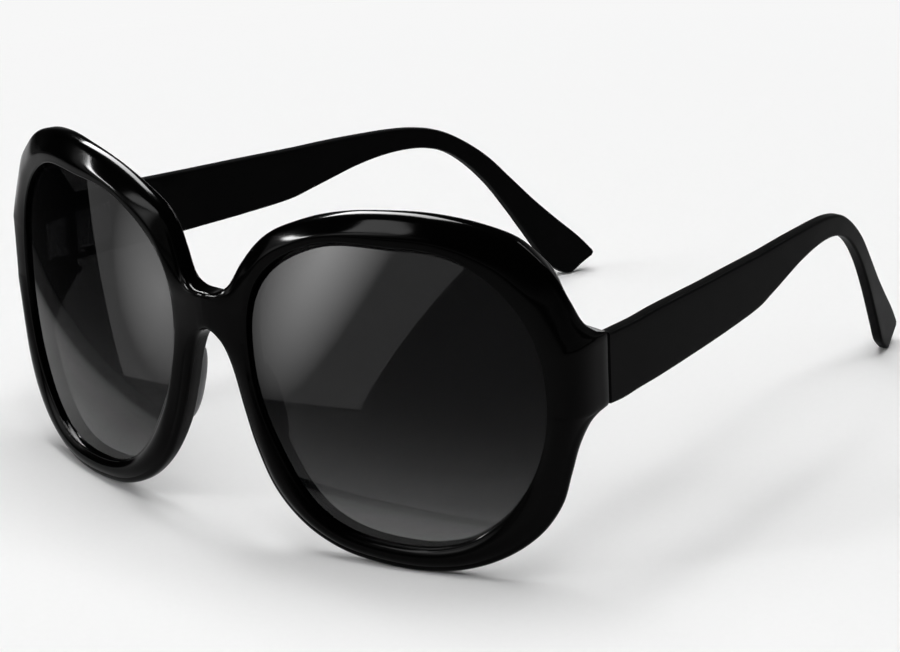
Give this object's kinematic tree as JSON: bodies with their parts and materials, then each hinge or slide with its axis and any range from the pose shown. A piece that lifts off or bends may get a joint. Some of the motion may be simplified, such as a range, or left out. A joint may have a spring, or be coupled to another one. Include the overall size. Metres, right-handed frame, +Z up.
{
  "type": "oversized sunglasses",
  "caption": "Oversized sunglasses with a wrapped, sculpted front, large rounded tinted lenses, bonded nose pads and broad temples that fold on screwed three-knuckle hinges.",
  "frame": {"origin": "on the floor, under the middle of the open glasses", "axes": "+X to the wearer's left, +Y to the rear from the front towards the temple tips, +Z up; the front faces -Y"},
  "size_m": [0.147, 0.1612, 0.0678],
  "materials": {
    "black_frame": "polished black",
    "tinted_lens": "polished, graded grey tint",
    "nose_pad": "satin smoke grey",
    "core_wire": "drawn wire",
    "hinges": "nickel-plated",
    "screws": "plated"
  },
  "bodies": {
    "front": {"front_frame": "black_frame", "left_lens": "tinted_lens", "right_lens": "tinted_lens", "left_nose_pad": "nose_pad", "right_nose_pad": "nose_pad", "left_front_hinge": "hinges", "right_front_hinge": "hinges", "left_hinge_screw": "screws", "right_hinge_screw": "screws", "left_front_leaf_screws": "screws", "right_front_leaf_screws": "screws"},
    "left_temple": {"left_temple": "black_frame", "left_core_wire": "core_wire", "left_temple_hinge": "hinges", "left_temple_leaf_screws": "screws"},
    "right_temple": {"right_temple": "black_frame", "right_core_wire": "core_wire", "right_temple_hinge": "hinges", "right_temple_leaf_screws": "screws"}
  },
  "joints": [
    {"name": "left_temple_fold", "type": "hinge", "parent": "front", "child": "left_temple", "pos_m": [0.0656, -0.0512, 0.0392], "axis": [0, 0, 1], "range_deg": [0, 82]},
    {"name": "right_temple_fold", "type": "hinge", "parent": "front", "child": "right_temple", "pos_m": [-0.0656, -0.0512, 0.0392], "axis": [0, 0, -1], "range_deg": [0, 74]}
  ]
}
